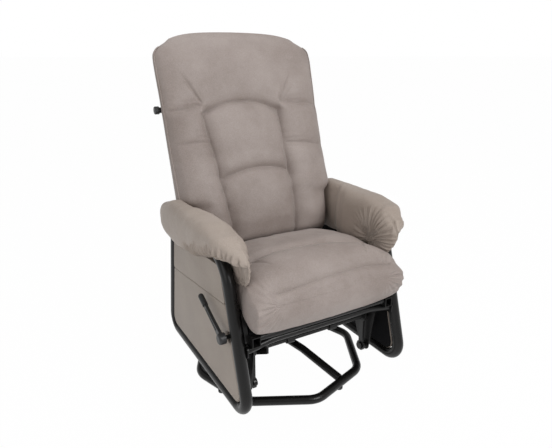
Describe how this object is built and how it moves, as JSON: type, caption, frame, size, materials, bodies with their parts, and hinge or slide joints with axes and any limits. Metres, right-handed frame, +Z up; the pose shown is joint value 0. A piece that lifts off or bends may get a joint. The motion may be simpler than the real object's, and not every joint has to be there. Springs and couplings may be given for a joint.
{
  "type": "swivel glider recliner",
  "caption": "Padded high-back chair on bent tube sides that glides on hanging links, swivels on a round tube base, and has a side lock lever and a reclining back.",
  "frame": {"origin": "centre of the bounding box on the floor", "axes": "+Z up, -Y the way the sitter faces, +X the sitter's left"},
  "size_m": [0.663, 0.6788, 1.0896],
  "materials": {
    "upholstery": "soft satin",
    "panel_cover": "soft satin",
    "shell_cover": "soft satin",
    "frame_paint": "satin",
    "bright_steel": "satin",
    "nylon": "matte",
    "black_plastic": "satin",
    "webbing": "matte"
  },
  "bodies": {
    "floor_base": {"base_ring": "frame_paint", "base_arms": "frame_paint", "floor_glides": "nylon", "swivel_hub": "frame_paint", "swivel_bearing": "nylon", "swivel_post": "bright_steel", "swivel_nut": "bright_steel"},
    "swivel_frame": {"turntable_plate": "frame_paint", "cradle_arms": "frame_paint", "axle_rods": "bright_steel", "axle_collars": "bright_steel", "lock_rack": "frame_paint", "rack_brace": "frame_paint"},
    "front_links": {"front_link_right": "frame_paint", "front_link_left": "frame_paint", "front_link_bushes": "nylon"},
    "rear_links": {"rear_link_right": "frame_paint", "rear_link_left": "frame_paint", "rear_link_bushes": "nylon"},
    "chair_frame": {"side_loop_right": "frame_paint", "side_loop_left": "frame_paint", "seat_rail_right": "frame_paint", "seat_rail_left": "frame_paint", "front_hanger_right": "frame_paint", "front_hanger_left": "frame_paint", "rear_hanger_right": "frame_paint", "rear_hanger_left": "frame_paint", "front_cross_tube": "frame_paint", "rear_cross_tube": "frame_paint", "front_seat_brackets": "frame_paint", "rear_seat_brackets": "frame_paint", "bracket_bolts": "bright_steel", "seat_tubes": "frame_paint", "hanger_pins": "bright_steel", "seat_webbing": "webbing", "seat_cushion": "upholstery", "side_panel_lower_right": "panel_cover", "side_panel_upper_right": "panel_cover", "side_panel_lower_left": "panel_cover", "side_panel_upper_left": "panel_cover", "arm_pad_right": "upholstery", "arm_pad_left": "upholstery", "back_hinge_bases": "frame_paint", "recline_discs": "bright_steel", "back_hinge_pins": "bright_steel", "lever_bush": "nylon"},
    "backrest": {"back_shell": "shell_cover", "back_frame_hoop": "frame_paint", "back_frame_bars": "frame_paint", "back_hinge_arms": "frame_paint", "knob_bush": "nylon", "back_cushion": "upholstery"},
    "lock_lever": {"lever_shaft": "bright_steel", "lever_hub": "black_plastic", "lever_arm": "black_plastic", "lever_grip": "black_plastic", "lock_pawl": "frame_paint"},
    "recline_knob": {"recline_knob": "black_plastic", "knob_spindle": "bright_steel"}
  },
  "joints": [
    {"name": "swivel", "type": "hinge", "parent": "floor_base", "child": "swivel_frame", "pos_m": [0, -0.009, 0.114], "axis": [0, 0, 1], "continuous": true},
    {"name": "glide", "type": "hinge", "parent": "swivel_frame", "child": "front_links", "pos_m": [0, -0.214, 0.205], "axis": [1, 0, 0], "range_deg": [-22, 22]},
    {"name": "rear_link_swing", "type": "hinge", "parent": "swivel_frame", "child": "rear_links", "pos_m": [0, 0.196, 0.205], "axis": [1, 0, 0], "range_deg": [-22, 22]},
    {"name": "seat_level", "type": "hinge", "parent": "front_links", "child": "chair_frame", "pos_m": [0, -0.214, 0.095], "axis": [1, 0, 0], "range_deg": [-22, 22]},
    {"name": "recline", "type": "hinge", "parent": "chair_frame", "child": "backrest", "pos_m": [0, 0.156, 0.35], "axis": [-1, 0, 0], "range_deg": [0, 35]},
    {"name": "lock_lever", "type": "hinge", "parent": "chair_frame", "child": "lock_lever", "pos_m": [-0.25, -0.235, 0.287], "axis": [-1, 0, 0], "range_deg": [0, 70]},
    {"name": "recline_knob", "type": "hinge", "parent": "backrest", "child": "recline_knob", "pos_m": [-0.28, 0.25318, 0.85581], "axis": [-1, 0, 0], "range_deg": [0, 90]}
  ],
  "couplings": [
    {"joint": "rear_link_swing", "follows": "glide", "ratio": 1},
    {"joint": "seat_level", "follows": "glide", "ratio": -1}
  ]
}
